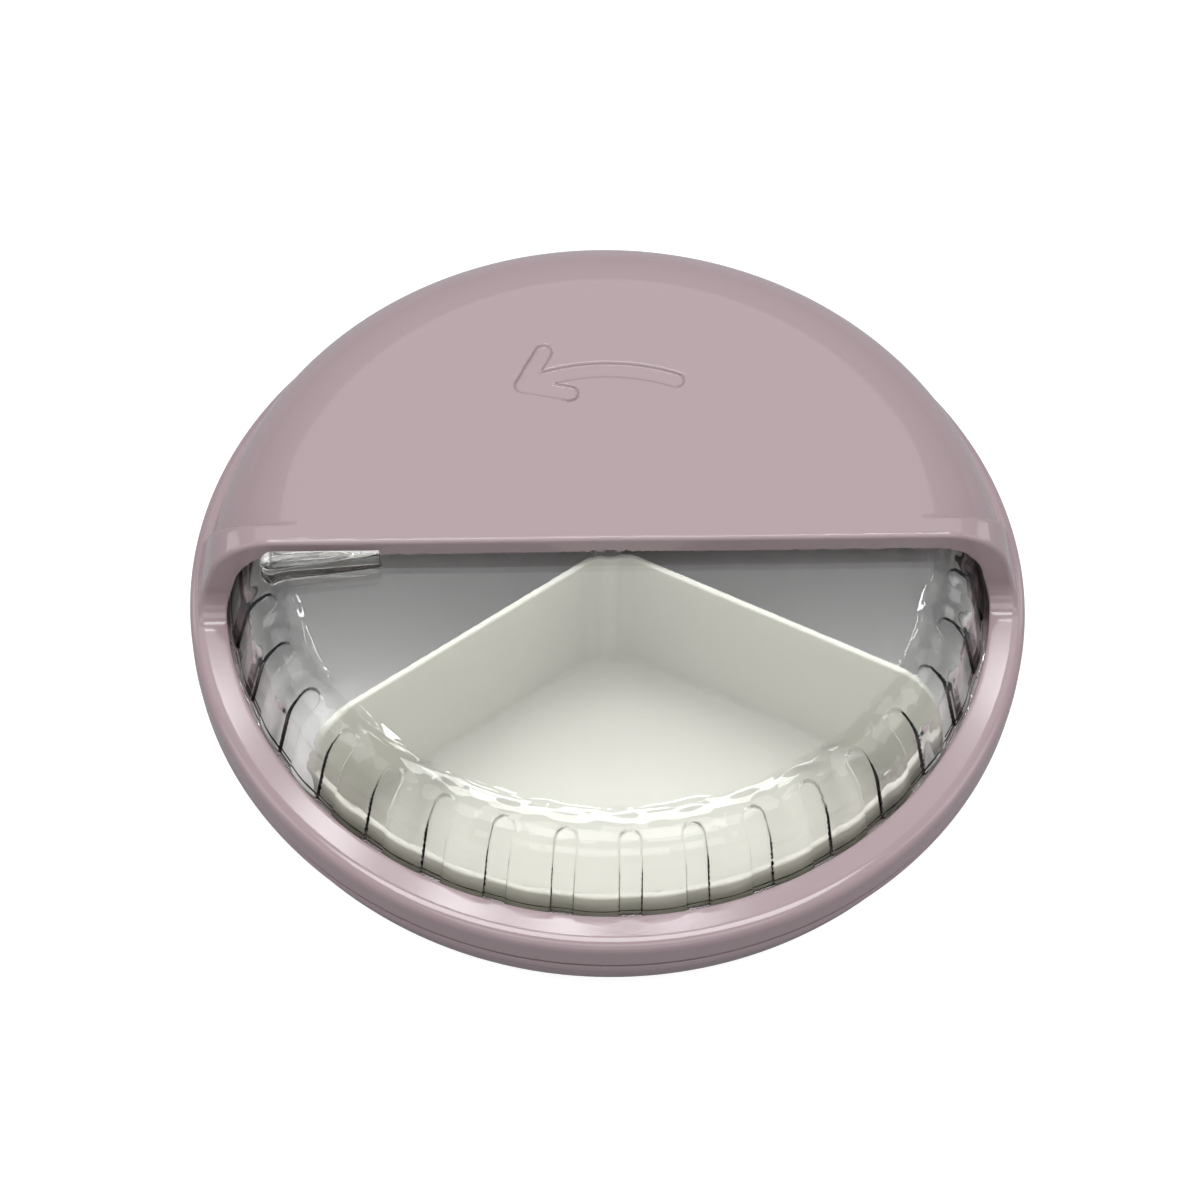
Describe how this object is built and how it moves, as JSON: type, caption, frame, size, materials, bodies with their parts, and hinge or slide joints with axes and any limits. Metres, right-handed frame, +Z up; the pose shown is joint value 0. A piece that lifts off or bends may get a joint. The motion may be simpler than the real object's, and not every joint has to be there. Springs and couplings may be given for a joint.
{
  "type": "rotating-lid snack box",
  "caption": "Low round snack box: base bowl, grey tray, lift-out sector cup, and a hooded lid whose fluted clear door slides round under the hood.",
  "frame": {"origin": "middle of the base's underside, on the surface that it stands on", "axes": "+Z up along the door's axis, +Y towards the hood, -Y towards the window"},
  "size_m": [0.16, 0.16, 0.046],
  "materials": {
    "lid_and_base_plastic": "satin gloss, dusty pink",
    "tray_plastic": "fine matte, neutral grey",
    "cup_plastic": "smooth satin, cream",
    "clear_plastic": "polished, transparent",
    "seal_silicone": "matt translucent white"
  },
  "bodies": {
    "base": {"base_shell": "lid_and_base_plastic", "inner_tray": "tray_plastic"},
    "cup": {"front_cup": "cup_plastic"},
    "seal": {"lid_seal": "seal_silicone"},
    "cover": {"cover_shell": "lid_and_base_plastic", "door_retaining_ring": "lid_and_base_plastic"},
    "door": {"spin_door": "clear_plastic"}
  },
  "joints": [
    {"name": "lid_lift", "type": "slide", "parent": "base", "child": "seal", "axis": [0, 0, 1], "range_m": [0, 0.07]},
    {"name": "lid_turn", "type": "hinge", "parent": "seal", "child": "cover", "pos_m": [0, 0, 0.0235], "axis": [0, 0, 1], "continuous": true},
    {"name": "door_spin", "type": "hinge", "parent": "cover", "child": "door", "pos_m": [0, 0, 0.0229], "axis": [0, 0, 1], "range_deg": [0, 165]},
    {"name": "cup_lift", "type": "slide", "parent": "base", "child": "cup", "axis": [0, 0, 1], "range_m": [0, 0.0315]}
  ],
  "couplings": [
    {"joint": "cup_lift", "follows": "lid_lift", "ratio": 0.45}
  ]
}
